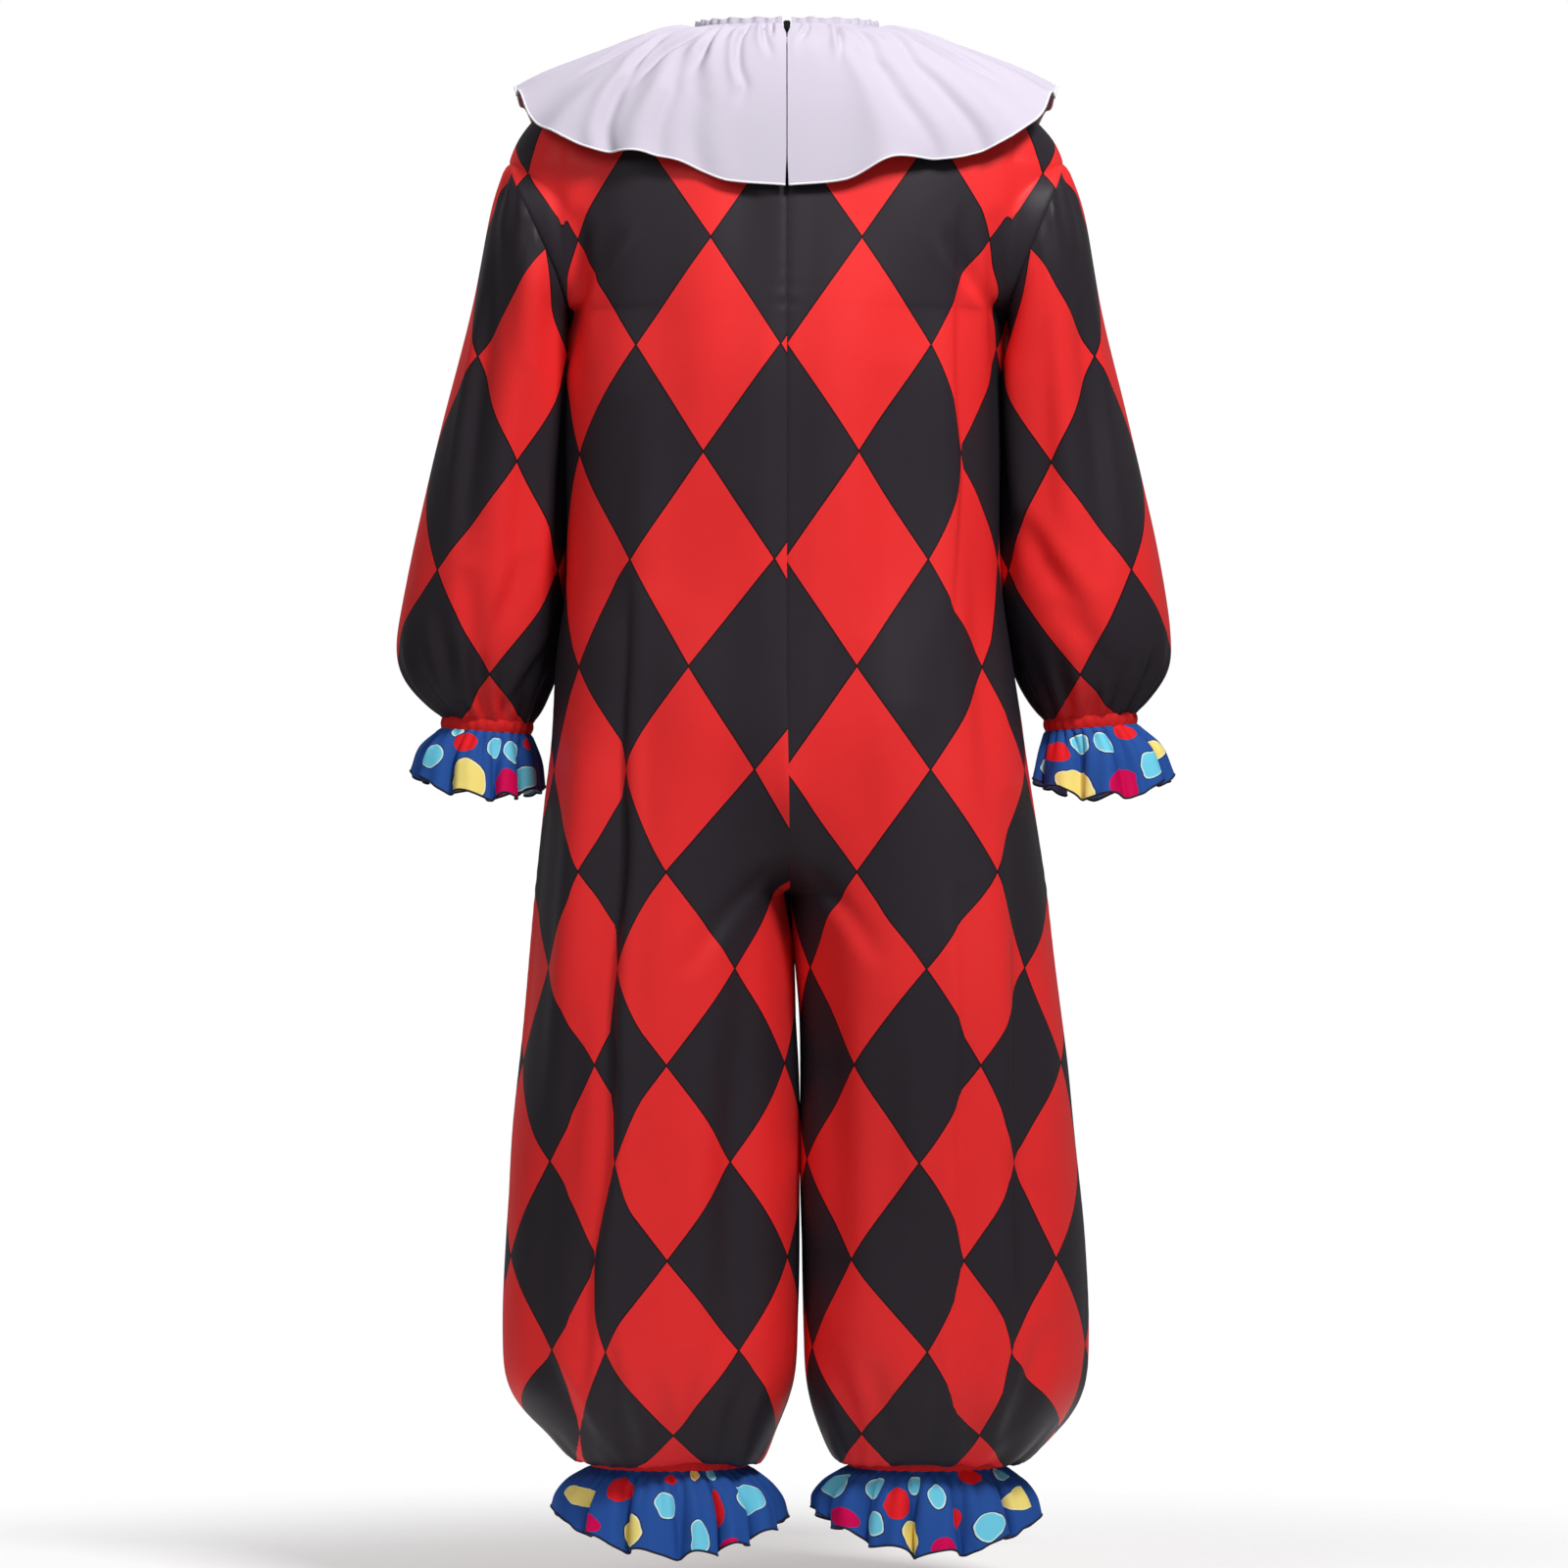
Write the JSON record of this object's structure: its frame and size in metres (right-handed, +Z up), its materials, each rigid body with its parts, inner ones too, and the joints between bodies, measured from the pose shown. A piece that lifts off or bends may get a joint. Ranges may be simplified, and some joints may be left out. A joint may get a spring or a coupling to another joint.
{
  "type": "costume jumpsuit",
  "caption": "Adult clown jumpsuit, hollow and filled out as when worn: harlequin body and sleeves, wide white ruffle collar, dotted ruffles at wrists and ankles.",
  "frame": {"origin": "where the wearer's shoulders hold the garment: on its mid plane, level with the base of the neck", "axes": "+Z up, the garment's front faces -Y, its zipped back faces +Y, the wearer's left is +X"},
  "size_m": [0.7498, 0.305, 1.4624],
  "materials": {
    "harlequin_cloth": "woven polyester printed with red and black diamonds, a thin dark line round each",
    "collar_cloth": "plain white woven polyester with a narrow overlocked edge",
    "dotted_cloth": "blue woven polyester printed with cyan, yellow and red dots",
    "channel_cloth": "red woven polyester, gathered on an elastic",
    "zip_tape": "black woven zip tape",
    "zip_metal": "black lacquered zinc"
  },
  "bodies": {
    "suit": {"back_left": "harlequin_cloth", "back_right": "harlequin_cloth", "front_left": "harlequin_cloth", "front_right": "harlequin_cloth", "sleeve_left": "harlequin_cloth", "sleeve_right": "harlequin_cloth", "wrist_channel_left": "channel_cloth", "wrist_channel_right": "channel_cloth", "ankle_channel_left": "channel_cloth", "ankle_channel_right": "channel_cloth", "wrist_ruffle_left": "dotted_cloth", "wrist_ruffle_right": "dotted_cloth", "ankle_ruffle_left": "dotted_cloth", "ankle_ruffle_right": "dotted_cloth", "collar": "collar_cloth", "neck_band": "collar_cloth", "zip_tape_left": "zip_tape", "zip_tape_right": "zip_tape", "zip_slider": "zip_metal"},
    "pull_tab": {"zip_pull": "zip_metal"}
  },
  "joints": [
    {"name": "pull_tab_hinge", "type": "hinge", "parent": "suit", "child": "pull_tab", "pos_m": [0, 0.06948, 0.02364], "axis": [1, 0, 0], "range_deg": [0, 20]}
  ]
}
